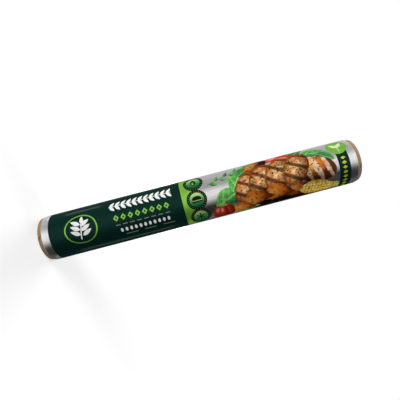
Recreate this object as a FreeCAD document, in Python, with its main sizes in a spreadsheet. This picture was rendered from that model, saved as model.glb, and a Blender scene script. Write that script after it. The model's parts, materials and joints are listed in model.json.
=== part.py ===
# A household roll of aluminium foil in its printed sleeve, standing on one end of its core.
#
# The core is a spiral-wound paperboard tube. The foil is wound on it a little short of both
# ends, and its turns are one solid whose ends show the ridges that the turns' edges leave.
# The sleeve is one printed sheet wrapped round the foil and lapped on itself down the back,
# so its section has the step of the free edge and the ramp where it climbs on its own start.
#
# Frame: millimetres, +Z along the roll's axis, origin in the middle of the core's foot end.
# The front of the print faces -Y, and the sleeve's lap lies on the +Y side.

import FreeCAD, Part
import Sketcher
import math
import os

OUT = "parts"

# alias, value, meaning
DRIVING_SIZES = [
    ("core_length", 297, "length of the core"),
    ("core_bore", 38, "inside diameter of the core"),
    ("core_wall", 1.1, "wall of the core"),
    ("core_edge", 0.2, "rounding of the core's cut edges"),
    ("foil_width", 290, "width of the foil, over the crests at its ends"),
    ("foil_run", 10000, "length of foil that is wound on the core"),
    ("foil_gauge", 0.011, "thickness of the foil"),
    ("foil_fill", 0.96, "share of the winding that is metal, the rest is air"),
    ("ridge_count", 4, "ridges that the turns' edges leave at each end"),
    ("ridge_height", 0.15, "height of those ridges"),
    ("label_width", 283, "width of the sleeve along the roll"),
    ("label_margin", 3.5, "bare foil between the foil's foot end and the sleeve"),
    ("label_gauge", 0.1, "thickness of the sleeve's sheet"),
    ("label_slack", 0.08, "clearance between the foil and the sleeve"),
    ("lap_length", 10, "overlap of the sleeve, along the arc"),
    ("ramp_length", 2, "arc over which the sheet climbs on its own start"),
    ("lap_bearing", 90, "where the sleeve's sheet starts, in degrees from +X"),
]

# Sizes that follow from the driving ones, as expressions in the sheet's names.
CORE_INSIDE = "dims.core_bore / 2"
CORE_OUTSIDE = f"({CORE_INSIDE} + dims.core_wall)"
WINDING_AREA = "dims.foil_run * dims.foil_gauge / dims.foil_fill"
FOIL_OUTSIDE = f"sqrt({CORE_OUTSIDE} ^ 2 + {WINDING_AREA} / pi)"
LABEL_INSIDE = f"({FOIL_OUTSIDE} + dims.label_slack)"
LABEL_OUTSIDE = f"({LABEL_INSIDE} + dims.label_gauge)"
LAP_OUTSIDE = f"({LABEL_OUTSIDE} + dims.label_gauge)"
FOIL_FOOT = "(dims.core_length - dims.foil_width) / 2"
LABEL_FOOT = f"{FOIL_FOOT} + dims.label_margin"

ORIGIN_POINT = (-1, 1)
X_AXIS = -1
Y_AXIS = -2
START, END, CENTRE = 1, 2, 3


def make_sheet(doc):
    """The spreadsheet that holds the driving sizes."""
    sheet = doc.addObject("Spreadsheet::Sheet", "dims")
    for row, (alias, value, meaning) in enumerate(DRIVING_SIZES, start=1):
        sheet.set(f"A{row}", meaning)
        sheet.set(f"B{row}", str(value))
        sheet.setAlias(f"B{row}", alias)
    doc.recompute()
    return sheet


def worth(sheet, expression):
    """What an expression in the sheet's names comes to now, as a number."""
    found = sheet.evalExpression(expression)
    return float(getattr(found, "Value", found))


def origin_plane(body, role):
    return next(f for f in body.Origin.OriginFeatures if f.Role == role)


def new_sketch(body, name, role):
    sketch = body.newObject("Sketcher::SketchObject", name)
    sketch.AttachmentSupport = [(origin_plane(body, role), "")]
    sketch.MapMode = "FlatFace"
    return sketch


def bind(sketch, constraint, name, expression):
    """Adds a dimensional constraint that takes its value from the sheet."""
    index = sketch.addConstraint(constraint)
    sketch.renameConstraint(index, name)
    sketch.setExpression(f"Constraints.{name}", expression)


def hold_on_axis_or_at(sketch, sheet, point, name, expression, kind, axis):
    """Puts a point at a distance from an axis, or on the axis where that distance is 0."""
    if expression == "0":
        sketch.addConstraint(Sketcher.Constraint("PointOnObject", *point, axis))
        return
    size = worth(sheet, expression)
    bind(sketch, Sketcher.Constraint(kind, *ORIGIN_POINT, *point, size), name, expression)


def draw_polygon(sketch, sheet, corners):
    """A closed outline through corners, each an (x, y) pair of expressions."""
    points = [FreeCAD.Vector(worth(sheet, x), worth(sheet, y), 0) for x, y in corners]
    ends = points[1:] + points[:1]
    lines = [sketch.addGeometry(Part.LineSegment(a, b), False) for a, b in zip(points, ends)]
    for line, following in zip(lines, lines[1:] + lines[:1]):
        sketch.addConstraint(Sketcher.Constraint("Coincident", line, END, following, START))
    for number, (line, (x, y)) in enumerate(zip(lines, corners)):
        corner = (line, START)
        hold_on_axis_or_at(sketch, sheet, corner, f"across_{number}", x, "DistanceX", Y_AXIS)
        hold_on_axis_or_at(sketch, sheet, corner, f"along_{number}", y, "DistanceY", X_AXIS)


def draw_circle(sketch, sheet, name, radius):
    size = worth(sheet, radius)
    circle = sketch.addGeometry(Part.Circle(FreeCAD.Vector(), FreeCAD.Vector(0, 0, 1), size), False)
    sketch.addConstraint(Sketcher.Constraint("Coincident", circle, CENTRE, *ORIGIN_POINT))
    bind(sketch, Sketcher.Constraint("Radius", circle, size), name, radius)


def make_core(doc, sheet):
    """The paperboard tube that the foil is wound on."""
    body = doc.addObject("PartDesign::Body", "Core")
    body.Label = "cardboard_core"
    section = new_sketch(body, "CoreSection", "XY_Plane")
    draw_circle(section, sheet, "inside", CORE_INSIDE)
    draw_circle(section, sheet, "outside", CORE_OUTSIDE)
    tube = body.newObject("PartDesign::Pad", "CoreTube")
    tube.Profile = section
    tube.setExpression("Length", "dims.core_length")
    doc.recompute()

    rims = [
        f"Edge{number}"
        for number, edge in enumerate(tube.Shape.Edges, start=1)
        if isinstance(edge.Curve, Part.Circle)
    ]
    rounding = body.newObject("PartDesign::Fillet", "CutEdges")
    rounding.Base = (tube, rims)
    rounding.setExpression("Radius", "min(dims.core_edge; dims.core_wall / 3)")
    body.Tip = rounding
    return body


def end_ridges(count, valley, crest):
    """Corners of one end of the winding, from the core outwards: valley, crest, valley and so on."""
    corners = []
    for step in range(2 * count + 1):
        share = step / (2 * count)
        across = f"{CORE_OUTSIDE} + ({FOIL_OUTSIDE} - {CORE_OUTSIDE}) * {share}"
        corners.append((across, crest if step % 2 else valley))
    return corners


def make_foil(doc, sheet):
    """The wound foil: all its turns as one solid, with ridged ends."""
    body = doc.addObject("PartDesign::Body", "Foil")
    body.Label = "foil_winding"
    count = round(worth(sheet, "dims.ridge_count"))
    foot = end_ridges(count, "dims.ridge_height", "0")
    head = end_ridges(count, "dims.foil_width - dims.ridge_height", "dims.foil_width")
    profile = new_sketch(body, "FoilProfile", "XZ_Plane")
    draw_polygon(profile, sheet, foot + head[::-1])
    turns = body.newObject("PartDesign::Revolution", "FoilTurns")
    turns.Profile = profile
    turns.ReferenceAxis = (profile, ["V_Axis"])
    turns.Angle = 360
    body.Tip = turns
    body.setExpression("Placement.Base.z", FOIL_FOOT)
    return body


def ray_at(sketch, sheet, name, reach, angle):
    """A construction line from the origin at a bound angle, ending at the radius reach."""
    turn = math.radians(worth(sheet, angle))
    tip = FreeCAD.Vector(math.cos(turn), math.sin(turn), 0) * worth(sheet, reach)
    ray = sketch.addGeometry(Part.LineSegment(FreeCAD.Vector(), tip), True)
    sketch.addConstraint(Sketcher.Constraint("Coincident", ray, START, *ORIGIN_POINT))
    bind(sketch, Sketcher.Constraint("Angle", ray, turn), name, angle)
    return ray


def draw_arc(sketch, sheet, name, radius, first, last):
    """An arc round the origin, of a bound radius, between two bearings in degrees."""
    size = worth(sheet, radius)
    circle = Part.Circle(FreeCAD.Vector(), FreeCAD.Vector(0, 0, 1), size)
    arc = Part.ArcOfCircle(circle, math.radians(first), math.radians(last))
    index = sketch.addGeometry(arc, False)
    sketch.addConstraint(Sketcher.Constraint("Coincident", index, CENTRE, *ORIGIN_POINT))
    bind(sketch, Sketcher.Constraint("Radius", index, size), name, radius)
    return index


def draw_edge(sketch, start, end):
    """A straight edge between the ends of two curves, each a (curve, which end) pair."""
    line = sketch.addGeometry(
        Part.LineSegment(sketch.getPoint(*start), sketch.getPoint(*end)), False
    )
    sketch.addConstraint(Sketcher.Constraint("Coincident", line, START, *start))
    sketch.addConstraint(Sketcher.Constraint("Coincident", line, END, *end))


def draw_lapped_section(sketch, sheet):
    """The sleeve across the roll. Its sheet starts at bearing 0 and ends on top of itself."""
    lap = f"dims.lap_length / {LABEL_OUTSIDE} * 180 / pi"
    climb = f"-dims.ramp_length / {LABEL_INSIDE} * 180 / pi"
    lap_turn = worth(sheet, lap)
    full_turn = 360 + worth(sheet, climb)
    lap_ray = ray_at(sketch, sheet, "lap_turn", LAP_OUTSIDE, lap)
    climb_ray = ray_at(sketch, sheet, "climb_turn", LABEL_OUTSIDE, climb)

    inside = draw_arc(sketch, sheet, "inside", LABEL_INSIDE, 0, full_turn)
    outside = draw_arc(sketch, sheet, "outside", LABEL_OUTSIDE, lap_turn, full_turn)
    on_top = draw_arc(sketch, sheet, "on_top", LAP_OUTSIDE, 0, lap_turn)
    start_face = sketch.addGeometry(
        Part.LineSegment(
            FreeCAD.Vector(worth(sheet, LABEL_INSIDE), 0, 0),
            FreeCAD.Vector(worth(sheet, LABEL_OUTSIDE), 0, 0),
        ),
        False,
    )
    sketch.addConstraint(Sketcher.Constraint("Coincident", start_face, START, inside, START))
    for point in ((inside, START), (start_face, END), (on_top, START)):
        sketch.addConstraint(Sketcher.Constraint("PointOnObject", *point, X_AXIS))
    thickness = worth(sheet, "dims.label_gauge")
    step = Sketcher.Constraint("DistanceX", start_face, START, start_face, END, thickness)
    bind(sketch, step, "thickness", "dims.label_gauge")
    for point, ray in (
        ((inside, END), climb_ray),
        ((outside, START), lap_ray),
    ):
        sketch.addConstraint(Sketcher.Constraint("PointOnObject", *point, ray))
    for point, ray in (
        ((outside, END), climb_ray),
        ((on_top, END), lap_ray),
    ):
        sketch.addConstraint(Sketcher.Constraint("Coincident", ray, END, *point))
    draw_edge(sketch, (inside, END), (start_face, END))
    draw_edge(sketch, (outside, END), (on_top, START))
    draw_edge(sketch, (on_top, END), (outside, START))


def make_label(doc, sheet):
    """The printed sleeve, wrapped on the foil and lapped on itself."""
    body = doc.addObject("PartDesign::Body", "Label")
    body.Label = "label_sleeve"
    section = new_sketch(body, "LabelSection", "XY_Plane")
    draw_lapped_section(section, sheet)
    wrap = body.newObject("PartDesign::Pad", "LabelWrap")
    wrap.Profile = section
    wrap.setExpression("Length", "dims.label_width")
    body.Tip = wrap
    bearing = worth(sheet, "dims.lap_bearing")
    body.Placement = FreeCAD.Placement(
        FreeCAD.Vector(), FreeCAD.Rotation(FreeCAD.Vector(0, 0, 1), bearing)
    )
    body.setExpression("Placement.Base.z", LABEL_FOOT)
    return body


def check(doc, bodies):
    """Stops the build if a feature failed or a sub-part isn't one sound solid."""
    for item in doc.Objects:
        if {"Invalid", "Error"} & set(item.State):
            raise RuntimeError(f"{item.Label} failed: {item.State}")
    for body in bodies:
        shape = body.Shape
        if shape.isNull() or not shape.isValid() or len(shape.Solids) != 1:
            raise RuntimeError(f"{body.Label} isn't one valid solid")


def main():
    doc = FreeCAD.newDocument("FoilRoll")
    sheet = make_sheet(doc)
    bodies = [make_core(doc, sheet), make_foil(doc, sheet), make_label(doc, sheet)]
    doc.recompute()
    check(doc, bodies)
    os.makedirs(OUT, exist_ok=True)
    for body in bodies:
        body.Shape.exportStep(os.path.join(OUT, body.Label + ".step"))
        print(body.Label, round(body.Shape.Volume, 2), "mm3", body.Shape.BoundBox)


main()
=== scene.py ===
# The looks of a household roll of aluminium foil that stands on one end of its core.
#
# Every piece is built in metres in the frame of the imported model: +Z up along the roll, the
# front of the print towards -Y. A place on the roll's side is an (along, around) pair in
# millimetres: along counts up the roll from the middle of the foil, and around counts along the
# arc from the front towards -X. The camera is turned on its side, so in the picture along runs
# to the right and around runs up.

import json
import math
import random
from collections import namedtuple

import bpy
from mathutils import Matrix, Vector, geometry, noise


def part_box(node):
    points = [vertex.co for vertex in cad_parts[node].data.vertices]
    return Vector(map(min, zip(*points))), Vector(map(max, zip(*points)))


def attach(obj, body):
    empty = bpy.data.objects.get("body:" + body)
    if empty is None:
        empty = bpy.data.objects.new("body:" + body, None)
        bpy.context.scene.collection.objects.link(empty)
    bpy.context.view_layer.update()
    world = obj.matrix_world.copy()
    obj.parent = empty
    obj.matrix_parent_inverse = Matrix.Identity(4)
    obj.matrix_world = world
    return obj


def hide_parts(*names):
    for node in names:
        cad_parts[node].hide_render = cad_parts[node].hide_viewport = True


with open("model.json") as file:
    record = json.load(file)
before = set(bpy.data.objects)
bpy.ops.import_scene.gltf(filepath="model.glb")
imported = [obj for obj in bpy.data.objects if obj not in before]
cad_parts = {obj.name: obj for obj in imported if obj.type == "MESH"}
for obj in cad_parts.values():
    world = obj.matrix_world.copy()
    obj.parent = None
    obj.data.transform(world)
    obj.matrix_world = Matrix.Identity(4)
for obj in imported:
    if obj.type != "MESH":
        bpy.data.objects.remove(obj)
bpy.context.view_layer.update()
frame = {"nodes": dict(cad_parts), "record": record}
MM = 0.001
FULL_TURN = 2 * math.pi


def reach(node):
    """The radius of a node's outermost points, in metres."""
    return max(math.hypot(v.co.x, v.co.y) for v in frame["nodes"][node].data.vertices)


CORE_FOOT, CORE_HEAD = (corner.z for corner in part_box("cardboard_core"))
FOIL_FOOT, FOIL_HEAD = (corner.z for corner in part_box("foil_winding"))
LABEL_FOOT, LABEL_HEAD = (corner.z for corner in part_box("label_sleeve"))
MIDDLE = (FOIL_FOOT + FOIL_HEAD) / 2
CORE_RADIUS = reach("cardboard_core")
FOIL_RADIUS = reach("foil_winding")
LAP_RADIUS = reach("label_sleeve")
BORE = next(m for m in frame["record"]["mounts"] if m["name"] == "core_bore")
BORE_RADIUS = BORE["dims"]["r_mm"] * MM


def bearing(radius, turn, height):
    """The point at a radius, a turn in radians from the front (-Y) towards -X, and a height."""
    return Vector((-radius * math.sin(turn), -radius * math.cos(turn), height))


def unevenness(*place):
    """Smooth noise at a place, mostly between 0 and 1."""
    return 0.5 + 0.5 * noise.noise(Vector(place))


# Shader nodes

def tone(code):
    """The linear colour of a hex code such as 80b850."""
    channels = [int(code[k:k + 2], 16) / 255 for k in (0, 2, 4)]
    linear = [c / 12.92 if c <= 0.04045 else ((c + 0.055) / 1.055) ** 2.4 for c in channels]
    return (*linear, 1)


def even_grey(share):
    """The linear grey that gives back a share of the light."""
    return (share, share, share, 1)


BLACK = even_grey(0)
WHITE = even_grey(1)


def fill(tree, socket, value):
    """Gives an input socket a plain value, or a link from another socket."""
    if isinstance(value, bpy.types.NodeSocket):
        tree.links.new(value, socket)
    else:
        socket.default_value = value


def add(tree, kind, inputs=None, **settings):
    """Adds a node with its settings and its inputs, by name or number."""
    made = tree.nodes.new(kind)
    for key, value in settings.items():
        setattr(made, key, value)
    for key, value in (inputs or {}).items():
        fill(tree, made.inputs[key], value)
    return made


def math_node(tree, operation, first, second=0.0):
    return add(tree, "ShaderNodeMath", {0: first, 1: second}, operation=operation).outputs[0]


def plus(tree, base, extra, share):
    """A base value and a share of another."""
    return math_node(tree, "ADD", base, math_node(tree, "MULTIPLY", extra, share))


def wave_over(tree, value, pace):
    return math_node(tree, "SINE", math_node(tree, "MULTIPLY", value, pace))


def vector_node(tree, operation, first, second):
    made = add(tree, "ShaderNodeVectorMath", {0: first, 1: second}, operation=operation)
    return made.outputs[0]


def scaled(tree, vector, factors):
    return vector_node(tree, "MULTIPLY", vector, factors)


def length_of(tree, vector):
    made = add(tree, "ShaderNodeVectorMath", {0: vector}, operation="LENGTH")
    return made.outputs["Value"]


def split(tree, vector):
    """A vector's three parts."""
    return tuple(add(tree, "ShaderNodeSeparateXYZ", {0: vector}).outputs)


def object_place(tree):
    return add(tree, "ShaderNodeTexCoord").outputs["Object"]


def noise_node(tree, vector, scale, detail=3.0, roughness=0.55):
    sockets = {"Vector": vector, "Scale": scale, "Detail": detail, "Roughness": roughness}
    return add(tree, "ShaderNodeTexNoise", sockets).outputs["Fac"]


def ramp(tree, factor, *stops):
    """A colour ramp through (place, colour) stops."""
    made = add(tree, "ShaderNodeValToRGB", {0: factor})
    elements = made.color_ramp.elements
    elements[0].position, elements[0].color = stops[0]
    elements[1].position, elements[1].color = stops[-1]
    for place, colour in stops[1:-1]:
        elements.new(place).color = colour
    return made.outputs["Color"]


def blend_colours(tree, factor, first, second, blend_type="MIX"):
    made = add(tree, "ShaderNodeMix", data_type="RGBA", blend_type=blend_type)
    for index, value in ((0, factor), (6, first), (7, second)):
        fill(tree, made.inputs[index], value)
    return made.outputs[2]


def darkened(tree, strength, colour, shade):
    return blend_colours(tree, strength, colour, shade, "MULTIPLY")


def bump(tree, shader, height, strength, distance):
    sockets = {"Height": height, "Strength": strength, "Distance": distance}
    fill(tree, shader.inputs["Normal"], add(tree, "ShaderNodeBump", sockets).outputs[0])


def new_material(name, **sockets):
    """A material whose principled shader has the given plain socket values."""
    material = bpy.data.materials.new(name)
    material.use_nodes = True
    tree = material.node_tree
    shader = tree.nodes["Principled BSDF"]
    for key, value in sockets.items():
        shader.inputs[key.replace("_", " ")].default_value = value
    return material, tree, shader


def empty_material(name):
    material = bpy.data.materials.new(name)
    material.use_nodes = True
    material.node_tree.nodes.clear()
    return material, material.node_tree


# The camera, the studio and its light

CAMERA_PLACE = (0.0004, -0.2990, 0.1471)
CAMERA_YAW = math.radians(0.254)
AXIS_RISE = math.radians(14.53)
LENS = 28.16
SENSOR_WIDTH = 36
NEAREST_SEEN = 0.01

FLOOR_SPAN = 12.0
FLOOR_SHADE = 0.72
# the floor's own light under the roll, and the distances between which it rises to white
FLOOR_GLOW = 0.50
FLOOR_GLOW_RISE = (0.3, 1.5)
AMBIENT = 0.22

REFLECTOR_RADIUS = 0.8
REFLECTOR_FOOT = -1.2
REFLECTOR_HEAD = 1.6
REFLECTOR_STEP = 4
# bearing from the front towards -X, in degrees, and the grey of the reflector there
REFLECTOR_GREYS = [
    (-180, 0.70),
    (-158, 0.08),
    (-118, 0.11),
    (-86, 0.03),
    (-44, 0.02),
    (3, 0.92),
    (21, 1.04),
    (56, 0.42),
    (80, 0.46),
    (115, 0.60),
    (180, 0.70),
]

STRIP_RADIUS = 0.72
# name, bearing and width in degrees, foot, head, strength
STRIP_LIGHTS = [
    ("strip_above", 108.6, 14, -0.27, -0.16, 8.4),
    ("strip_below", -116.2, 12, -0.25, 0.05, 3.4),
]

# name, bearing in degrees, height, distance, size, power in watts
LAMPS = [
    ("key", 48, 0.6, 1.9, 1.2, 33),
    ("low_fill", -115, 0.45, 1.9, 1.2, 16),
    ("back_fill", 170, 0.75, 1.9, 1.2, 26),
]


def make_camera():
    """The camera of the photograph: on its side, with the roll rising to the right."""
    sideways = Vector((0, -math.sin(CAMERA_YAW), math.cos(CAMERA_YAW)))
    forward = Vector((0, math.cos(CAMERA_YAW), math.sin(CAMERA_YAW)))
    upward = Vector((-1, 0, 0))
    right = math.cos(AXIS_RISE) * sideways - math.sin(AXIS_RISE) * upward
    top = math.cos(AXIS_RISE) * upward + math.sin(AXIS_RISE) * sideways
    data = bpy.data.cameras.new("camera")
    data.lens = LENS
    data.sensor_width = SENSOR_WIDTH
    data.clip_start = NEAREST_SEEN
    camera = bpy.data.objects.new("camera", data)
    axes = Matrix((right, top, -forward)).transposed().to_4x4()
    camera.matrix_world = Matrix.Translation(CAMERA_PLACE) @ axes
    bpy.context.scene.collection.objects.link(camera)
    bpy.context.scene.camera = camera


def seen_by_eye_or_gloss(tree):
    """1 for what the camera, a reflection or a clear thing sees, 0 for light on matt surfaces."""
    path = add(tree, "ShaderNodeLightPath").outputs
    either = math_node(tree, "MAXIMUM", path["Is Camera Ray"], path["Is Glossy Ray"])
    return math_node(tree, "MAXIMUM", either, path["Is Transmission Ray"])


def make_world():
    """White to the camera and to reflections, and a low even light on everything."""
    world = bpy.data.worlds.new("studio")
    world.use_nodes = True
    world.cycles.sampling_method = "NONE"
    bpy.context.scene.world = world
    tree = world.node_tree
    sockets = {"Value": seen_by_eye_or_gloss(tree), "To Min": AMBIENT, "To Max": 1.0}
    background = tree.nodes["Background"]
    level = add(tree, "ShaderNodeMapRange", sockets).outputs[0]
    fill(tree, background.inputs["Strength"], level)
    background.inputs["Color"].default_value = WHITE


def make_floor():
    """A pale floor at the core's foot that shows white and keeps a soft shadow."""
    bpy.ops.mesh.primitive_plane_add(size=FLOOR_SPAN, location=(0, 0, CORE_FOOT))
    floor = bpy.context.object
    floor.name = "floor"
    floor.visible_glossy = False
    material, tree = empty_material("floor_white")
    matt = add(tree, "ShaderNodeBsdfDiffuse", {"Color": even_grey(FLOOR_SHADE)})
    near, far = FLOOR_GLOW_RISE
    sockets = {"Value": length_of(tree, object_place(tree)), "From Min": near, "From Max": far}
    sockets.update({"To Min": FLOOR_GLOW, "To Max": 1.0})
    rising = add(tree, "ShaderNodeMapRange", sockets).outputs[0]
    level = math_node(tree, "MULTIPLY", seen_by_eye_or_gloss(tree), rising)
    glow = add(tree, "ShaderNodeEmission", {"Strength": level})
    both = add(tree, "ShaderNodeAddShader", {0: matt.outputs[0], 1: glow.outputs[0]})
    add(tree, "ShaderNodeOutputMaterial", {"Surface": both.outputs[0]})
    floor.data.materials.append(material)


def grey_at(degrees):
    """The reflector's grey at a bearing, between its two nearest stated greys."""
    for (low, first), (high, second) in zip(REFLECTOR_GREYS, REFLECTOR_GREYS[1:]):
        if low <= degrees <= high:
            share = (degrees - low) / (high - low)
            smooth = share * share * (3 - 2 * share)
            return first + (second - first) * smooth
    return REFLECTOR_GREYS[-1][1]


def only_reflected(item):
    """Keeps a studio card out of the picture and out of the plain light."""
    item.visible_camera = False
    item.visible_diffuse = False
    item.visible_shadow = False


def glow_material(name, sampling, **sockets):
    """A card's glowing material, its tree and its glow. Sampling says if it counts as a lamp."""
    material, tree = empty_material(name)
    material.cycles.emission_sampling = sampling
    glow = add(tree, "ShaderNodeEmission", sockets)
    add(tree, "ShaderNodeOutputMaterial", {"Surface": glow.outputs[0]})
    return material, tree, glow


def curved_card(name, radius, turns, foot, head, material):
    """A card that stands round the roll through the given turns, in degrees."""
    points = []
    for degrees in turns:
        points.append(bearing(radius, math.radians(degrees), foot))
        points.append(bearing(radius, math.radians(degrees), head))
    faces = [(2 * k, 2 * k + 1, 2 * k + 3, 2 * k + 2) for k in range(len(turns) - 1)]
    mesh = bpy.data.meshes.new(name)
    mesh.from_pydata(points, [], faces)
    mesh.materials.append(material)
    card = bpy.data.objects.new(name, mesh)
    bpy.context.scene.collection.objects.link(card)
    only_reflected(card)
    return card


def make_reflector():
    """The graded wall round the roll that metal and gloss reflect."""
    turns = list(range(-180, 181, REFLECTOR_STEP))
    material, tree, glow = glow_material("reflector_grey", "NONE")
    grey = add(tree, "ShaderNodeVertexColor", layer_name="grey").outputs["Color"]
    fill(tree, glow.inputs["Color"], grey)
    ends = (REFLECTOR_FOOT, REFLECTOR_HEAD)
    card = curved_card("reflector", REFLECTOR_RADIUS, turns, *ends, material)
    greys = card.data.color_attributes.new("grey", "FLOAT_COLOR", "POINT")
    for index, degrees in enumerate(turns):
        for corner in (2 * index, 2 * index + 1):
            greys.data[corner].color = even_grey(grey_at(degrees))


def make_strips(glossy_piece):
    """Two narrow lights that draw the thin glints along the dark panel, on that piece alone."""
    receivers = bpy.data.collections.new("glint_receivers")
    receivers.objects.link(glossy_piece)
    for name, middle, width, foot, head, strength in STRIP_LIGHTS:
        turns = [middle - width / 2, middle, middle + width / 2]
        material = glow_material(name + "_glow", "FRONT_BACK", Strength=strength)[0]
        card = curved_card(name, STRIP_RADIUS, turns, foot, head, material)
        card.light_linking.receiver_collection = receivers


def make_lamps():
    """Large soft lamps. Metal shows the reflector in their place."""
    for name, degrees, height, distance, size, power in LAMPS:
        data = bpy.data.lights.new(name, "AREA")
        data.shape = "DISK"
        data.size = size
        data.energy = power
        lamp = bpy.data.objects.new(name, data)
        lamp.location = bearing(distance, math.radians(degrees), height)
        aim = Vector((0, 0, MIDDLE)) - lamp.location
        lamp.rotation_euler = aim.to_track_quat("-Z", "Y").to_euler()
        lamp.visible_glossy = False
        bpy.context.scene.collection.objects.link(lamp)


# The board and the bare foil

SEAM_PITCH = 75 * MM
# the shares of its pitch at which the seam's dark line starts to fade and is gone
SEAM_LINE = (0.004, 0.008)


def off_seam(tree, place):
    """How far a place is from the core's spiral seam, as a share of the seam's pitch."""
    x, y, z = split(tree, scaled(tree, place, (-1, -1, 1)))
    turned = math_node(tree, "DIVIDE", math_node(tree, "ARCTAN2", x, y), FULL_TURN)
    risen = math_node(tree, "DIVIDE", z, SEAM_PITCH)
    share = math_node(tree, "FRACT", math_node(tree, "SUBTRACT", risen, turned))
    return math_node(tree, "MINIMUM", share, math_node(tree, "SUBTRACT", 1.0, share))


def cardboard():
    """Kraft board: fibres, clouds, specks and the dark line of its spiral seam."""
    material, tree, shader = new_material("cardboard", Roughness=0.85, Specular_IOR_Level=0.25)
    place = object_place(tree)
    fibres = noise_node(tree, scaled(tree, place, (900, 900, 2600)), 1.0, detail=5)
    clouds = noise_node(tree, place, 140.0)
    specks = noise_node(tree, place, 2600.0, detail=1)
    base = ramp(tree, fibres, (0.3, tone("8d7558")), (0.55, tone("a38a6d")), (0.75, tone("baa07f")))
    cloudy = blend_colours(tree, clouds, base, tone("9a7e5d"))
    dark = ramp(tree, specks, (0.28, tone("5f4c38")), (0.36, WHITE))
    line, clear = SEAM_LINE
    seam = ramp(tree, off_seam(tree, place), (line, tone("6a543e")), (clear, WHITE))
    colour = darkened(tree, 0.85, darkened(tree, 0.6, cloudy, dark), seam)
    fill(tree, shader.inputs["Base Color"], colour)
    bump(tree, shader, fibres, 0.5, 0.00012)
    return material


def bare_foil():
    """Bright rolled aluminium with fine hoops drawn round the roll, and faint dents."""
    material, tree, shader = new_material("foil", Metallic=1.0, Roughness=0.3)
    place = object_place(tree)
    hoops = noise_node(tree, scaled(tree, place, (30, 30, 9000)), 1.0, detail=2)
    dents = noise_node(tree, scaled(tree, place, (160, 160, 420)), 1.0)
    colour = ramp(tree, hoops, (0.3, tone("e4e5e6")), (0.7, tone("f4f4f4")))
    fill(tree, shader.inputs["Base Color"], colour)
    bump(tree, shader, plus(tree, hoops, dents, 2.0), 0.25, 0.00005)
    return material


# The printed film

PRINT_MAP = "print"
INK_METAL = 0.35
INK_ROUGHNESS = 0.34
INK_EDGE_TINT = even_grey(0.45)
BARE_EDGE_TINT = even_grey(0.9)
LIT_SPOT = (-0.3, 0.35, 0)


def film_material(name, metal=INK_METAL, roughness=INK_ROUGHNESS, edge_tint=INK_EDGE_TINT):
    """The shader that all inks on the metallised film share, under a thin gloss coat."""
    return new_material(
        name,
        Metallic=metal,
        Roughness=roughness,
        Specular_IOR_Level=0.0,
        Specular_Tint=edge_tint,
        Coat_Weight=0.08,
        Coat_Roughness=0.1,
    )


def printed(material, tree, shader, colour):
    """Gives a film its colour, and the faint unevenness of a sheet pulled round the roll."""
    fill(tree, shader.inputs["Base Color"], colour)
    waves = noise_node(tree, scaled(tree, object_place(tree), (120, 120, 45)), 1.0, detail=2)
    bump(tree, shader, waves, 0.12, 0.0004)
    return material


def plain_ink(name, code, metal=INK_METAL):
    """One flat printed colour, with the slight mottle of a print."""
    material, tree, shader = film_material(name, metal)
    mottle = noise_node(tree, object_place(tree), 1800.0, detail=2)
    base = tone(code)
    darker = tuple(c * 0.88 for c in base[:3]) + (1,)
    return printed(material, tree, shader, ramp(tree, mottle, (0.35, darker), (0.6, base)))


def silver_film(name, roughness, dark, light):
    """The metallised film with no ink on it, and its fine lengthways grain."""
    material, tree, shader = film_material(name, 1.0, roughness, BARE_EDGE_TINT)
    grain = noise_node(tree, scaled(tree, object_place(tree), (1600, 1600, 60)), 1.0, detail=4)
    colour = ramp(tree, grain, (0.3, tone(dark)), (0.7, tone(light)))
    return printed(material, tree, shader, colour)


def motif_place(tree):
    """The place within a printed motif, from -1 to 1 across it both ways."""
    flat = add(tree, "ShaderNodeUVMap", uv_map=PRINT_MAP).outputs[0]
    return vector_node(tree, "ADD", scaled(tree, flat, (2, 2, 0)), (-1, -1, 0))


def icon_green(name):
    """The round icons' green, light at the top and dark below."""
    material, tree, shader = film_material(name)
    _, up, _ = split(tree, motif_place(tree))
    stops = (0.1, tone("145a38")), (0.5, tone("3f9c4a")), (0.95, tone("b5d98a"))
    return printed(material, tree, shader, ramp(tree, plus(tree, 0.5, up, 0.5), *stops))


def round_shade(tree, place):
    """How far a place is from a motif's lit spot: 0 there and about 1 at its far rim."""
    shifted = vector_node(tree, "SUBTRACT", place, LIT_SPOT)
    return math_node(tree, "MULTIPLY", length_of(tree, shifted), 0.72)


def low_side_dark(tree, place, colour):
    """Shades a motif's lower end, where it lies under its neighbour."""
    _, up, _ = split(tree, place)
    uneven = math_node(tree, "MULTIPLY", noise_node(tree, place, 2.2), 0.6)
    down = math_node(tree, "SUBTRACT", uneven, up)
    return darkened(tree, 0.7, colour, ramp(tree, down, (0.25, WHITE), (1.0, tone("5a3a25"))))


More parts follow.
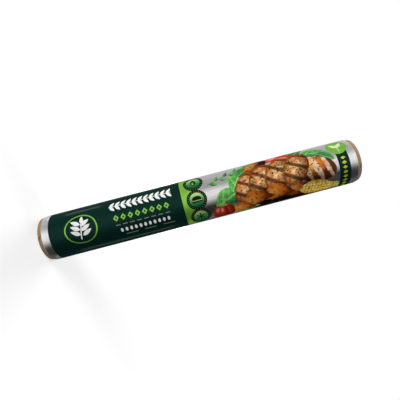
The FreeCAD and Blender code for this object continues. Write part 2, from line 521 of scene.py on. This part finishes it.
def toasted_bread(name):
    """A slice: pale crumb with pores and dark grill bars, inside a baked crust."""
    material, tree, shader = film_material(name)
    place = motif_place(tree)
    distance = length_of(tree, place)
    crumbs = noise_node(tree, place, 4.0, detail=6, roughness=0.7)
    crumb = ramp(
        tree,
        crumbs,
        (0.36, tone("8a4a1c")),
        (0.46, tone("cf8c4c")),
        (0.56, tone("ecc48e")),
        (0.66, tone("f6e2c2")),
    )
    baked = ramp(tree, distance, (0.25, WHITE), (0.95, tone("c07838")))
    across, _, _ = split(tree, place)
    bars = math_node(tree, "MULTIPLY", plus(tree, wave_over(tree, across, 10.0), crumbs, 2.2), 0.5)
    grilled = ramp(tree, bars, (0.72, WHITE), (0.95, tone("4a2412")))
    toasted = darkened(tree, 0.85, darkened(tree, 0.9, crumb, baked), grilled)
    rim = ramp(tree, plus(tree, distance, crumbs, 0.25), (0.9, BLACK), (1.0, WHITE))
    crust = ramp(tree, crumbs, (0.35, tone("48200c")), (0.6, tone("a4581c")))
    whole = blend_colours(tree, rim, toasted, crust)
    return printed(material, tree, shader, low_side_dark(tree, place, whole))


def crusty_loaf(name):
    """A small loaf: a browned crust, split by pale floury cuts."""
    material, tree, shader = film_material(name)
    place = motif_place(tree)
    patches = noise_node(tree, place, 3.0, detail=6, roughness=0.65)
    crust = ramp(
        tree,
        plus(tree, round_shade(tree, place), patches, 0.7),
        (0.45, tone("f0aa5c")),
        (0.7, tone("cc7428")),
        (0.92, tone("9a4e20")),
        (1.0, tone("5c3016")),
    )
    across, up, _ = split(tree, place)
    cuts = wave_over(tree, plus(tree, across, up, 0.4), 12.0)
    near_rim = math_node(tree, "MULTIPLY", length_of(tree, place), 1.3)
    open_cut = math_node(tree, "SUBTRACT", plus(tree, cuts, patches, 2.4), near_rim)
    mask = ramp(tree, open_cut, (0.45, BLACK), (0.9, even_grey(0.9)))
    flour = ramp(tree, patches, (0.35, tone("c08a54")), (0.6, tone("f2dcc0")))
    whole = blend_colours(tree, mask, crust, flour)
    return printed(material, tree, shader, low_side_dark(tree, place, whole))


def cast_shade(name):
    """The dark ground under the food, which fades out into the silver."""
    material, tree, shader = film_material(name, 1.0)
    place = motif_place(tree)
    faded = plus(tree, length_of(tree, place), noise_node(tree, place, 3.0), 0.3)
    stops = (0.45, tone("2a190f")), (0.8, tone("6e5a4c")), (1.0, tone("e7e6e5"))
    return printed(material, tree, shader, ramp(tree, faded, *stops))


def roast_skin(name, light, middle, dark):
    """A roasted skin: bright where it is lit, browned and blistered towards its rim."""
    material, tree, shader = film_material(name)
    place = motif_place(tree)
    patches = noise_node(tree, place, 3.4, detail=6)
    shade = plus(tree, round_shade(tree, place), patches, 0.7)
    base = ramp(tree, shade, (0.4, tone(light)), (0.75, tone(middle)), (1.0, tone(dark)))
    char = ramp(tree, patches, (0.56, WHITE), (0.66, tone("5a3018")))
    whole = darkened(tree, 0.8, base, char)
    return printed(material, tree, shader, low_side_dark(tree, place, whole))


def shiny_fruit(name, light, middle, dark):
    """A smooth rounded fruit with a soft glint."""
    material, tree, shader = film_material(name)
    shade = round_shade(tree, motif_place(tree))
    stops = (0.05, tone(light)), (0.3, tone(middle)), (0.95, tone(dark))
    return printed(material, tree, shader, ramp(tree, shade, *stops))


def corn_kernels(name):
    """Rows of kernels along a cob."""
    material, tree, shader = film_material(name, 0.2)
    place = motif_place(tree)
    sockets = {"Vector": scaled(tree, place, (6.5, 2.6, 1)), "Scale": 1.0, "Randomness": 0.35}
    cells = add(tree, "ShaderNodeTexVoronoi", sockets).outputs["Distance"]
    stops = (0.1, tone("fff0a6")), (0.45, tone("f6cc4c")), (0.66, tone("bc8430"))
    kernels = ramp(tree, cells, *stops)
    _, up, _ = split(tree, place)
    shade = ramp(tree, math_node(tree, "ABSOLUTE", up), (0.5, WHITE), (1.0, tone("a47830")))
    return printed(material, tree, shader, darkened(tree, 0.9, kernels, shade))


def leaf_green(name, light, middle, dark):
    """A crumpled leaf with a pale midrib and side veins, and folds that catch the light."""
    material, tree, shader = film_material(name)
    place = motif_place(tree)
    across, up, _ = split(tree, place)
    folds = noise_node(tree, place, 2.4, detail=4, roughness=0.6)
    bent = math_node(tree, "SUBTRACT", plus(tree, up, folds, 0.3), 0.15)
    off_rib = math_node(tree, "ABSOLUTE", bent)
    veins = wave_over(tree, plus(tree, across, off_rib, -0.55), 15.0)
    lit = plus(tree, math_node(tree, "MULTIPLY", up, 0.3), folds, 1.3)
    shade = plus(tree, lit, veins, -0.1)
    base = ramp(tree, shade, (0.3, tone(dark)), (0.72, tone(middle)), (1.0, tone(light)))
    pale = blend_colours(tree, 0.35, tone(light), (1, 1, 0.8, 1))
    vein_mask = ramp(tree, veins, (0.88, BLACK), (1.0, even_grey(0.3)))
    rib_mask = ramp(tree, off_rib, (0.03, even_grey(0.6)), (0.1, BLACK))
    veined = blend_colours(tree, vein_mask, base, pale)
    return printed(material, tree, shader, blend_colours(tree, rib_mask, veined, pale))


def make_inks():
    """Each ink's material, by the name that the printed shapes use."""
    return {
        "paper": plain_ink("sheet_edge", "e9e9e6", 0.0),
        "silver": silver_film("metallised_film", 0.24, "d2d1d1", "e6e5e4"),
        "margin": silver_film("film_margin", 0.28, "dedddc", "f0efee"),
        "panel": plain_ink("ink_dark_green", "0e2e28"),
        "lime": plain_ink("ink_lime", "88ca4e", 0.6),
        "white": plain_ink("ink_white", "eceeea", 0.0),
        "grey": plain_ink("ink_grey", "7d8f88", 0.2),
        "ring": plain_ink("ink_black", "16180f"),
        "mark": plain_ink("ink_mark", "5f7a5a", 0.2),
        "yellow": plain_ink("ink_yellow", "c8cf3a"),
        "icon": icon_green("ink_icon_green"),
        "pale_lime": plain_ink("ink_pale_lime", "d5ecb4", 0.2),
        "cast_shade": cast_shade("ink_shade"),
        "crumb": plain_ink("ink_crumb", "2a180d"),
        "stem": plain_ink("ink_stem", "4d8a35"),
        "leaf": leaf_green("ink_leaf", "86cc66", "3f9e40", "0e5426"),
        "dark_leaf": leaf_green("ink_dark_leaf", "55ac50", "1f7a35", "083c1a"),
        "husk": leaf_green("ink_husk", "d2e08c", "9cb850", "57802c"),
        "fine": plain_ink("ink_fine_lines", "33473f", 0.2),
        "herb": plain_ink("ink_herb", "4c6a2a"),
        "dark_herb": plain_ink("ink_dark_herb", "26391a"),
        "bread": toasted_bread("ink_bread"),
        "loaf": crusty_loaf("ink_loaf"),
        "roast": roast_skin("ink_roast", "e8964a", "a8541c", "3c1a0a"),
        "squash": roast_skin("ink_squash", "f6a84a", "d86c1c", "7c2e0c"),
        "pepper": shiny_fruit("ink_pepper", "f6ac90", "cc3220", "5c0e0a"),
        "corn": corn_kernels("ink_corn"),
    }


# Printed shapes, in millimetres along and around the roll

Shape = namedtuple("Shape", "ink outline centre size turn")

# radius of the circle through the noise that an uneven oval's outline follows
STRAY_SPAN = 1.4
# steps in each round end of a bar
ROUND_STEPS = 8
# below 1, the first moves a leaf's widest place towards its foot, and the second fills it out
LEAF_LEAN = 0.8
LEAF_FULLNESS = 0.9


def closed(ink, centre, size, turn, outline):
    """A shape from its outline in its own frame, where size is half its width and height."""
    cos, sin = math.cos(turn), math.sin(turn)
    placed = [(centre[0] + x * cos - y * sin, centre[1] + x * sin + y * cos) for x, y in outline]
    return Shape(ink, placed, centre, size, turn)


def beyond(place, distance, turn):
    """The place at a distance from another, in the direction of a turn in radians."""
    return (place[0] + distance * math.cos(turn), place[1] + distance * math.sin(turn))


def oval(ink, centre, half_width, half_height=None, degrees=0, count=48, uneven=0.0):
    """An ellipse. Uneven is how far its outline strays inwards, as a share of its size."""
    half_height = half_height or half_width
    outline = []
    for k in range(count):
        t = FULL_TURN * k / count
        size = 1 - uneven * unevenness(*beyond(centre, STRAY_SPAN, t), 0)
        outline.append((size * half_width * math.cos(t), size * half_height * math.sin(t)))
    return closed(ink, centre, (half_width, half_height), math.radians(degrees), outline)


def block(ink, low, high):
    """An upright rectangle between two corners."""
    centre = ((low[0] + high[0]) / 2, (low[1] + high[1]) / 2)
    x, y = (high[0] - low[0]) / 2, (high[1] - low[1]) / 2
    return closed(ink, centre, (x, y), 0, [(-x, -y), (x, -y), (x, y), (-x, y)])


def bar(ink, centre, length, width, degrees=0):
    """A bar with round ends."""
    straight, round_off = (length - width) / 2, width / 2
    steps = [math.pi * k / ROUND_STEPS for k in range(ROUND_STEPS + 1)]
    right = [(straight + round_off * math.sin(t), -round_off * math.cos(t)) for t in steps]
    left = [(-x, -y) for x, y in right]
    return closed(ink, centre, (length / 2, width / 2), math.radians(degrees), right + left)


def leaf(ink, centre, length, width, degrees=0, bend=0.0, count=12):
    """A pointed leaf. Bend lifts its middle by that share of its length."""
    lower, upper = [], []
    for k in range(count + 1):
        t = k / count
        along = (t - 0.5) * length
        half = width / 2 * math.sin(math.pi * t ** LEAF_LEAN) ** LEAF_FULLNESS
        lift = bend * length * math.sin(math.pi * t)
        lower.append((along, lift - half))
        upper.append((along, lift + half))
    size = (length / 2, width / 2 + abs(bend) * length)
    return closed(ink, centre, size, math.radians(degrees), lower + upper[-2:0:-1])


def lozenge(ink, centre, half_width, half_height):
    outline = [(half_width, 0), (0, half_height), (-half_width, 0), (0, -half_height)]
    return closed(ink, centre, (half_width, half_height), 0, outline)


# The sleeve's artwork

LABEL_START = (LABEL_FOOT - MIDDLE) / MM
LABEL_END = (LABEL_HEAD - MIDDLE) / MM
PANEL_START = -138.2
PANEL_END = -15.8
BAND_END = -5.9
STRIPE_START = 127.6
STRIPE_END = 137.9
STRIPE_MIDDLE = (STRIPE_START + STRIPE_END) / 2
END_ROUND = (131.8, 17.8)
BACK_MIDDLE = -57.5

BACK_LINE_WIDTH = 0.8
BACK_LINE_GAP = 1.2
BACK_LINE_PITCH = 2.4
# the shortest room, at a row's end, that still takes a line
BACK_LINE_ROOM = 4

ICON_RADIUS = 6.5
ICON_RING_RADIUS = 9.2
ICON_MARKS_RADIUS = 7.85
ICON_MARKS = 22

# a sprig's leaves: length, width, their middles' way out from the stem, and lean in degrees
SPRIG_LEAF = 7.6
SPRIG_LEAF_WIDTH = 0.42 * SPRIG_LEAF
SPRIG_LEAF_OUT = 0.42 * SPRIG_LEAF
SPRIG_LEAN = 42


def ground_fields(low, high):
    """The big fields: silver ground, its two margins, dark panel and lime band."""
    return [
        block("silver", (LABEL_START, low), (LABEL_END, high)),
        block("margin", (LABEL_START, low), (PANEL_START, high)),
        block("margin", (STRIPE_END, low), (LABEL_END, high)),
        block("panel", (PANEL_START, low), (PANEL_END, high)),
        block("lime", (PANEL_END, low), (BAND_END, high)),
    ]


def end_stripe():
    """The dark stripe at the head end with its lozenges, and the lime round with its shoot."""
    x = END_ROUND[0]
    shapes = [block("panel", (STRIPE_START, -40), (STRIPE_END, 12)), oval("lime", END_ROUND, 9.1)]
    shapes += [lozenge("yellow", (STRIPE_MIDDLE, 4.5 - 4.4 * k), 2.3, 1.6) for k in range(8)]
    shapes.append(bar("pale_lime", (x, 14.6), 7, 0.8, 90))
    for side in (-1, 1):
        shapes.append(leaf("pale_lime", (x + 2.6 * side, 19), 8, 3.8, 90 - 42 * side))
    return shapes


def emblem(centre):
    """A plain sprig inside a lime ring."""
    x, y = centre
    shapes = [oval("lime", centre, 15, 13.5), oval("panel", centre, 13.8, 12.3)]
    shapes.append(bar("white", (x, y - 1), 17, 1.0, 78))
    for step, lift in enumerate((-5.2, -0.8, 3.6)):
        spread = 5.4 - 0.5 * step
        shapes.append(leaf("white", (x + spread - 0.4, y + lift + 1.6), 9.5, 3.8, 28))
        shapes.append(leaf("white", (x - spread, y + lift + 2.6), 9.5, 3.8, 152))
    shapes.append(leaf("white", (x + 1.6, y + 8.2), 7, 3.4, 84))
    return shapes


def garland(ink, start, end, height, length, width):
    """A straight stem with a pair of leaves at each step along it."""
    step, rise, lean = length * 0.78, length * 0.36, 48
    shapes = [bar(ink, ((start + end) / 2, height), end - start, 0.7)]
    count = round((end - start) / step)
    for k in range(count):
        x = start + (end - start) * (k + 0.6) / count
        for side in (-1, 1):
            place = (x, height + side * rise)
            shapes.append(leaf(ink, place, length, width, side * lean, count=8))
    return shapes


def ornament_rows(middle):
    """Rows of plain ornament on the dark panel, about a middle place around the roll."""
    shapes = garland("white", -82, -24, middle + 14.5, 6.6, 2.9)
    for k in range(8):
        centre = (-76.5 + 6.6 * k, middle + 2.6)
        shapes += [lozenge("lime", centre, 2.5, 3.0), lozenge("panel", centre, 1.0, 1.3)]
    shapes += [bar("grey", (-76 + 6.5 * k, middle - 3.8), 4.4, 0.8) for k in range(8)]
    for k in range(11):
        shapes.append(oval("white", (-74 + 4.3 * k, middle - 9.2), 1.2, 1.9, count=20))
    shapes += [bar("grey", (-66 + 17 * k, middle - 14.2), 11, 0.8) for k in range(3)]
    return shapes


def back_lines(start, end, middle, seed):
    """Three rows of fine broken lines, printed dark on the silver."""
    draw = random.Random(seed)
    shapes = []
    for row in range(3):
        x = start
        while x < end - BACK_LINE_ROOM:
            length = min(draw.uniform(3, 8), end - x)
            place = (x + length / 2, middle - BACK_LINE_PITCH * row)
            shapes.append(bar("fine", place, length, BACK_LINE_WIDTH))
            x += length + BACK_LINE_GAP
    return shapes


def back_of_sleeve():
    """The side away from the front: the same emblem and rows, a sprig and blocks of lines."""
    shapes = emblem((-109, BACK_MIDDLE + 1)) + ornament_rows(BACK_MIDDLE)
    shapes += sprig((8, BACK_MIDDLE), 118, 0, 25)
    for column in range(3):
        start = 8 + 40 * column
        shapes += back_lines(start, start + 34, BACK_MIDDLE + 16, column)
        shapes += back_lines(start, start + 34, BACK_MIDDLE - 8, column + 3)
    return shapes


def icon(centre, sign):
    """A round icon: a dark ring with a circle of fine marks, a green field and a plain sign."""
    shapes = [oval("ring", centre, ICON_RING_RADIUS), oval("icon", centre, ICON_RADIUS)]
    for k in range(ICON_MARKS):
        t = FULL_TURN * k / ICON_MARKS
        place = beyond(centre, ICON_MARKS_RADIUS, t)
        shapes.append(bar("mark", place, 1.3, 0.55, math.degrees(t)))
    return shapes + sign(*centre)


def flame_sign(x, y):
    return [leaf("ring", (x, y + 0.6), 8.4, 5.0, 90), leaf("icon", (x, y - 0.6), 4.6, 2.4, 90)]


def frost_sign(x, y):
    return [bar("ring", (x, y), 8.6, 1.1, turn) for turn in (30, 90, 150)]


def dish_sign(x, y):
    return [
        oval("ring", (x, y + 0.4), 4.4, 3.0),
        block("icon", (x - 4.6, y - 3), (x + 4.6, y - 0.4)),
        bar("ring", (x, y - 1.5), 10.4, 1.2),
    ]


def icons():
    column = zip((18.3, 0.5, -16.6), (flame_sign, dish_sign, frost_sign))
    return [shape for y, sign in column for shape in icon((-2.8, y), sign)]


def sprig(start, length, degrees, count):
    """A thin twig with leaves along it, to one side and the other in turn."""
    turn = math.radians(degrees)
    shapes = [bar("stem", beyond(start, length / 2, turn), length, 0.9, degrees)]
    for k in range(count):
        lean = degrees + (SPRIG_LEAN if k % 2 else -SPRIG_LEAN)
        foot = beyond(start, (k + 0.6) / count * length, turn)
        place = beyond(foot, SPRIG_LEAF_OUT, math.radians(lean))
        ink = "leaf" if k % 3 else "dark_leaf"
        shapes.append(leaf(ink, place, SPRIG_LEAF, SPRIG_LEAF_WIDTH, lean))
    return shapes


def herbs(centre, spread, count, seed):
    """Chopped herbs scattered over a motif, thickest in its middle."""
    draw = random.Random(seed)
    shapes = []
    for _ in range(count):
        x = draw.gauss(centre[0], spread[0])
        y = draw.gauss(centre[1], spread[1])
        ink = draw.choice(("herb", "dark_herb", "crumb"))
        length = draw.uniform(1.6, 3.6) if ink != "crumb" else 1.2
        shapes.append(leaf(ink, (x, y), length, 1.1, draw.uniform(0, 180), count=6))
    return shapes


def chili(centre, length, width, degrees):
    """A chili with its green cap at the far end."""
    cap = beyond(centre, 0.46 * length, math.radians(degrees))
    return [
        leaf("pepper", centre, length, width, degrees, 0.1),
        leaf("dark_leaf", cap, length * 0.3, width * 0.5, degrees + 18),
    ]


def sweet_pepper(centre, size):
    """A red pepper seen from its side: overlapping lobes and a green stalk."""
    x, y = centre
    shapes = []
    for side in (-1, 1):
        lobe = (x + 0.5 * size * side, y)
        shapes.append(oval("pepper", lobe, 0.62 * size, 0.92 * size, 9 * side))
    shapes.append(oval("pepper", (x - 0.04 * size, y - 0.06 * size), 0.5 * size, size))
    shapes.append(leaf("husk", (x, y + 0.86 * size), size, 0.4 * size, -6))
    shapes.append(leaf("husk", (x + 0.2 * size, y + 1.16 * size), 0.9 * size, 0.26 * size, 66))
    return shapes


def still_life():
    """A generic picture of grilled bread, a loaf, squash, corn and peppers among leaves."""
    shapes = [
        oval("cast_shade", (74, -19), 60, 15, 2),
        leaf("leaf", (26, -5), 29, 16, 24, 0.06),
        leaf("dark_leaf", (26, -16), 30, 14, -14, -0.05),
        leaf("leaf", (37, 10), 26, 14, 56, 0.05),
        leaf("dark_leaf", (46, 17), 21, 11, 30, 0.05),
        leaf("dark_leaf", (93, 22), 25, 12, 32, 0.05),
        leaf("leaf", (109, 17), 23, 11, -8, 0.06),
        leaf("dark_leaf", (118, 10), 18, 9, -34, 0.04),
        leaf("leaf", (40, -24), 26, 13, 10, 0.04),
    ]
    shapes += chili((79, 24), 34, 9, 14) + chili((86, 18), 30, 8, -8)
    shapes += [
        oval("roast", (56, 21), 14, 9, 34, uneven=0.15),
        oval("loaf", (106, 1), 21, 12.5, -16, uneven=0.08),
        oval("bread", (43, 0), 16, 11, 60, uneven=0.12),
        oval("bread", (58, 4), 17.5, 12, 58, uneven=0.12),
        oval("bread", (74, 6), 18.5, 12.5, 56, uneven=0.12),
        oval("bread", (90, 6), 18, 12, 60, uneven=0.12),
        oval("roast", (88, -16), 14, 9.5, -10, uneven=0.15),
        leaf("squash", (70, -15), 32, 15, -4, 0.14),
        leaf("squash", (50, -17), 34, 15, 10, 0.16),
        leaf("husk", (124, -22), 20, 11, -20),
        leaf("corn", (108, -18), 38, 17, -9),
        leaf("squash", (36, -22), 28, 12, -8, 0.14),
    ]
    shapes += sweet_pepper((19, -18), 8.8)
    shapes += herbs((50, 0), (5, 6), 26, 3)
    shapes += herbs((80, 10), (9, 5), 60, 7)
    shapes += herbs((104, 2), (9, 5), 30, 11)
    shapes += herbs((66, -15), (16, 4), 24, 5)
    return shapes


def artwork(low, high):
    """Everything on the sleeve between two places around it, first drawn lowest."""
    return (
        ground_fields(low, high)
        + still_life()
        + sprig((9, 11), 44, 17, 9)
        + emblem((-109, 1))
        + ornament_rows(0)
        + icons()
        + end_stripe()
        + back_of_sleeve()
    )


# Meshes

def to_object(name, points, faces, normals, materials, face_inks=None, print_uv=None):
    """A smooth mesh object with its own normals, materials and print map."""
    mesh = bpy.data.meshes.new(name)
    mesh.from_pydata(points, [], faces)
    for material in materials:
        mesh.materials.append(material)
    if face_inks:
        mesh.polygons.foreach_set("material_index", face_inks)
    if print_uv:
        layer = mesh.uv_layers.new(name=PRINT_MAP)
        for loop, place in zip(layer.data, print_uv):
            loop.uv = place
    mesh.polygons.foreach_set("use_smooth", [True] * len(mesh.polygons))
    mesh.update()
    if normals:
        mesh.normals_split_custom_set_from_vertices(normals)
    item = bpy.data.objects.new(name, mesh)
    bpy.context.scene.collection.objects.link(item)
    return item


def finish_piece(item, node):
    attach(item, "root")
    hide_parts(node)


LABEL_GAUGE = 0.1 * MM
# keeps the shown sheet just inside the solid one
SHEET_INSET = 0.02 * MM
LABEL_RADIUS = LAP_RADIUS - LABEL_GAUGE - SHEET_INSET
LAP_START = math.radians(-206.8)
LAP_FOOT = math.radians(-180)
RAMP_END = math.radians(-174.6)
TUCK_END = math.radians(157)
GRID_AROUND = math.radians(3)
GRID_ALONG = 4.5
CUT_PRECISION = 1e-5
# the kind of cut that keeps only the triangles inside the given outlines
INSIDE_ONLY = 1
WAVE_DEPTH = 0.035 * MM
WAVE_LENGTH = 30
WAVES_AROUND = 1.7
NORMAL_STEP = 0.05


def sheet_radius(along, turn):
    """The sleeve's outer radius: on its own start behind, on the foil elsewhere."""
    lap = 1.0
    if turn > LAP_FOOT:
        lap = max(0.0, 1 - (turn - LAP_FOOT) / (RAMP_END - LAP_FOOT))
    y, z = WAVES_AROUND * math.cos(turn), WAVES_AROUND * math.sin(turn)
    wave = unevenness(along / WAVE_LENGTH, y, z)
    return LABEL_RADIUS + LABEL_GAUGE * lap - WAVE_DEPTH * wave


def on_sheet(along, around, depth=0.0):
    turn = around * MM / LABEL_RADIUS
    return bearing(sheet_radius(along, turn) - depth, turn, MIDDLE + along * MM)


def sheet_normal(along, around):
    up = on_sheet(along + NORMAL_STEP, around) - on_sheet(along - NORMAL_STEP, around)
    side = on_sheet(along, around + NORMAL_STEP) - on_sheet(along, around - NORMAL_STEP)
    return up.cross(side).normalized()


def cut_sheet(shapes, low, high):
    """Triangles of the flat sheet, cut along every printed edge, each with its top shape."""
    points, edges, faces = [], [], []
    for shape in shapes:
        faces.append(list(range(len(points), len(points) + len(shape.outline))))
        for x, y in shape.outline:
            points.append((min(max(x, LABEL_START), LABEL_END), min(max(y, low), high)))

    def line(first, second):
        edges.append((len(points), len(points) + 1))
        points.extend((first, second))

    rows = math.ceil((high - low) / (GRID_AROUND * LABEL_RADIUS / MM))
    for k in range(1, rows):
        y = low + (high - low) * k / rows
        line((LABEL_START, y), (LABEL_END, y))
    columns = math.ceil((LABEL_END - LABEL_START) / GRID_ALONG)
    for k in range(1, columns):
        x = LABEL_START + (LABEL_END - LABEL_START) * k / columns
        line((x, low), (x, high))
    flat = [Vector(p) for p in points]
    cut = geometry.delaunay_2d_cdt(flat, edges, faces, INSIDE_ONLY, CUT_PRECISION, True)
    found, _, triangles, _, _, owners = cut
    return found, triangles, [max(owner) for owner in owners]


def motif_uv(shape, point):
    """A sheet point's place within its shape, from 0 to 1 both ways."""
    x, y = point[0] - shape.centre[0], point[1] - shape.centre[1]
    cos, sin = math.cos(shape.turn), math.sin(shape.turn)
    u = (x * cos + y * sin) / shape.size[0]
    v = (y * cos - x * sin) / shape.size[1]
    return (0.5 + 0.5 * u, 0.5 + 0.5 * v)


def open_edges(triangles):
    """The directed edges that only one triangle has."""
    directed = [(t[k], t[(k + 1) % 3]) for t in triangles for k in range(3)]
    there = set(directed)
    return [(a, b) for a, b in directed if (b, a) not in there]


def make_label(inks):
    """The printed sleeve: one sheet cut into its inks, with its thickness and cut edges."""
    low = LAP_START * LABEL_RADIUS / MM
    high = TUCK_END * LABEL_RADIUS / MM
    shapes = artwork(low, high)
    flat, triangles, tops = cut_sheet(shapes, low, high)
    outer = [on_sheet(*p) for p in flat]
    inner = [on_sheet(*p, depth=LABEL_GAUGE) for p in flat]
    out_normals = [sheet_normal(*p) for p in flat]
    points = outer + inner
    normals = out_normals + [-n for n in out_normals]
    count = len(flat)
    faces = [tuple(t) for t in triangles]
    faces += [tuple(count + k for k in reversed(t)) for t in triangles]
    names = list(inks)
    face_inks = [names.index(shapes[top].ink) for top in tops]
    face_inks += [names.index("paper")] * len(tops)
    for a, b in open_edges(triangles):
        start = len(points)
        points += [outer[a], outer[b], inner[b], inner[a]]
        outward = (outer[b] - outer[a]).cross(out_normals[a]).normalized()
        normals += [outward] * 4
        faces.append((start, start + 3, start + 2, start + 1))
        face_inks.append(names.index("paper"))
    print_uv = [motif_uv(shapes[top], flat[k]) for t, top in zip(triangles, tops) for k in t]
    print_uv += [(0.5, 0.5)] * (sum(map(len, faces)) - len(print_uv))
    materials = list(inks.values())
    label = to_object("printed_sleeve", points, faces, normals, materials, face_inks, print_uv)
    finish_piece(label, "label_sleeve")
    return label


def lathe(name, profiles, material, node):
    """A mesh through one closed profile per column round the roll."""
    columns, rows = len(profiles), len(profiles[0])
    faces = []
    for column in range(columns):
        here, after = column * rows, (column + 1) % columns * rows
        for row in range(rows):
            above = (row + 1) % rows
            faces.append((here + row, after + row, after + above, here + above))
    points = [point for profile in profiles for point in profile]
    finish_piece(to_object(name, points, faces, None, [material]), node)


def spaced(low, high, count):
    return [low + (high - low) * k / count for k in range(count + 1)]


# steps round the roll in the foil and in the core
COLUMNS = 300

SHOWN_TURNS = 22
END_STAGGER = 0.16 * MM
TURN_GROOVE = 0.07 * MM
HOOP_DEPTH = 0.012 * MM
# how far fine rows of points reach in from the foil's foot and head, past the sleeve's edges
FINE_AT_FOOT = 7 * MM
FINE_AT_HEAD = 8 * MM
FINE_ROWS = 18
HIDDEN_ROWS = 12


def turn_ledge(count, crest):
    """How far an edge of the winding lies in from its end, at a count of turns."""
    stagger = END_STAGGER * unevenness(count * 0.9, 4.2, 0)
    return stagger if crest else stagger + TURN_GROOVE


def foil_profile(share):
    """The winding's section where its spiral has gone that share of a turn."""
    pitch = (FOIL_RADIUS - CORE_RADIUS) / SHOWN_TURNS
    turn = share * FULL_TURN
    ends = []
    for half in range(2 * SHOWN_TURNS - 1):
        count = half / 2 + share
        ends.append((CORE_RADIUS + pitch * count, turn_ledge(count, half % 2 == 0)))
    outside = ends[-1][0]
    section = [(radius, FOIL_FOOT + ledge) for radius, ledge in ends]
    rise = spaced(FOIL_FOOT + END_STAGGER * 2, FOIL_FOOT + FINE_AT_FOOT, FINE_ROWS)
    fall = spaced(FOIL_HEAD - FINE_AT_HEAD, FOIL_HEAD - END_STAGGER * 2, FINE_ROWS)
    for height in rise + spaced(rise[-1], fall[0], HIDDEN_ROWS)[1:-1] + fall:
        hoop = unevenness(height / MM * 0.8, 2 * math.cos(turn), 2 * math.sin(turn))
        section.append((outside - HOOP_DEPTH * hoop, height))
    section += [(radius, FOIL_HEAD - ledge) for radius, ledge in reversed(ends)]
    return [bearing(radius, turn, height) for radius, height in section]


def make_foil(material):
    """The wound foil, as a spiral whose outermost turn ends in a small step at the front."""
    profiles = [foil_profile((k + 0.5) / COLUMNS) for k in range(COLUMNS)]
    lathe("wound_foil", profiles, material, "foil_winding")


PLY_COUNT = 4
PLY_GROOVE = 0.08 * MM
PLY_GROOVE_HALF_WIDTH = 0.04 * MM
CUT_ROUND = 0.15 * MM
CUT_RAGGED = 0.04 * MM
SEAM_DEPTH = 0.12 * MM
SEAM_HALF_WIDTH = 0.35 * MM
BORE_ROWS = 60
# rows of points on the core's outside at each end, and how far they reach in under the foil
END_ROWS = 22
END_TUCK = 1 * MM
COVERED_ROWS = 6


def seam_dip(turn, height):
    """The groove where the outermost ply of the core meets its own edge."""
    along_helix = (height / SEAM_PITCH - turn / FULL_TURN) % 1.0
    distance = min(along_helix, 1 - along_helix) * SEAM_PITCH
    return SEAM_DEPTH * max(0.0, 1 - distance / SEAM_HALF_WIDTH)


def core_profile(turn):
    """The tube's section at a turn: bore, cut foot end, outside and cut head end."""
    ragged = CUT_RAGGED * unevenness(5 * math.cos(turn), 5 * math.sin(turn), 9)
    foot, head = CORE_FOOT + ragged, CORE_HEAD - ragged
    section = [(BORE_RADIUS, z) for z in spaced(head - CUT_ROUND, foot + CUT_ROUND, BORE_ROWS)]
    end = [(BORE_RADIUS + CUT_ROUND, 0.0)]
    for ply in range(1, PLY_COUNT):
        radius = BORE_RADIUS + (CORE_RADIUS - BORE_RADIUS) * ply / PLY_COUNT
        end.append((radius - PLY_GROOVE_HALF_WIDTH, 0.0))
        end.append((radius, PLY_GROOVE))
        end.append((radius + PLY_GROOVE_HALF_WIDTH, 0.0))
    end.append((CORE_RADIUS - CUT_ROUND, 0.0))
    section += [(radius, foot + dip) for radius, dip in end]
    low_rows = spaced(foot + CUT_ROUND, FOIL_FOOT + END_TUCK, END_ROWS)
    high_rows = spaced(FOIL_HEAD - END_TUCK, head - CUT_ROUND, END_ROWS)
    for height in low_rows + spaced(low_rows[-1], high_rows[0], COVERED_ROWS)[1:-1] + high_rows:
        section.append((CORE_RADIUS - seam_dip(turn, height), height))
    section += [(radius, head - dip) for radius, dip in reversed(end)]
    return [bearing(radius, turn, height) for radius, height in section]


def make_core(material):
    """The paperboard tube, with its plies at the cut ends and its spiral seam."""
    profiles = [core_profile(FULL_TURN * k / COLUMNS) for k in range(COLUMNS)]
    lathe("board_core", profiles, material, "cardboard_core")


bpy.context.scene.view_settings.view_transform = "Standard"
make_camera()
make_world()
make_floor()
make_reflector()
make_lamps()
make_core(cardboard())
make_foil(bare_foil())
make_strips(make_label(make_inks()))
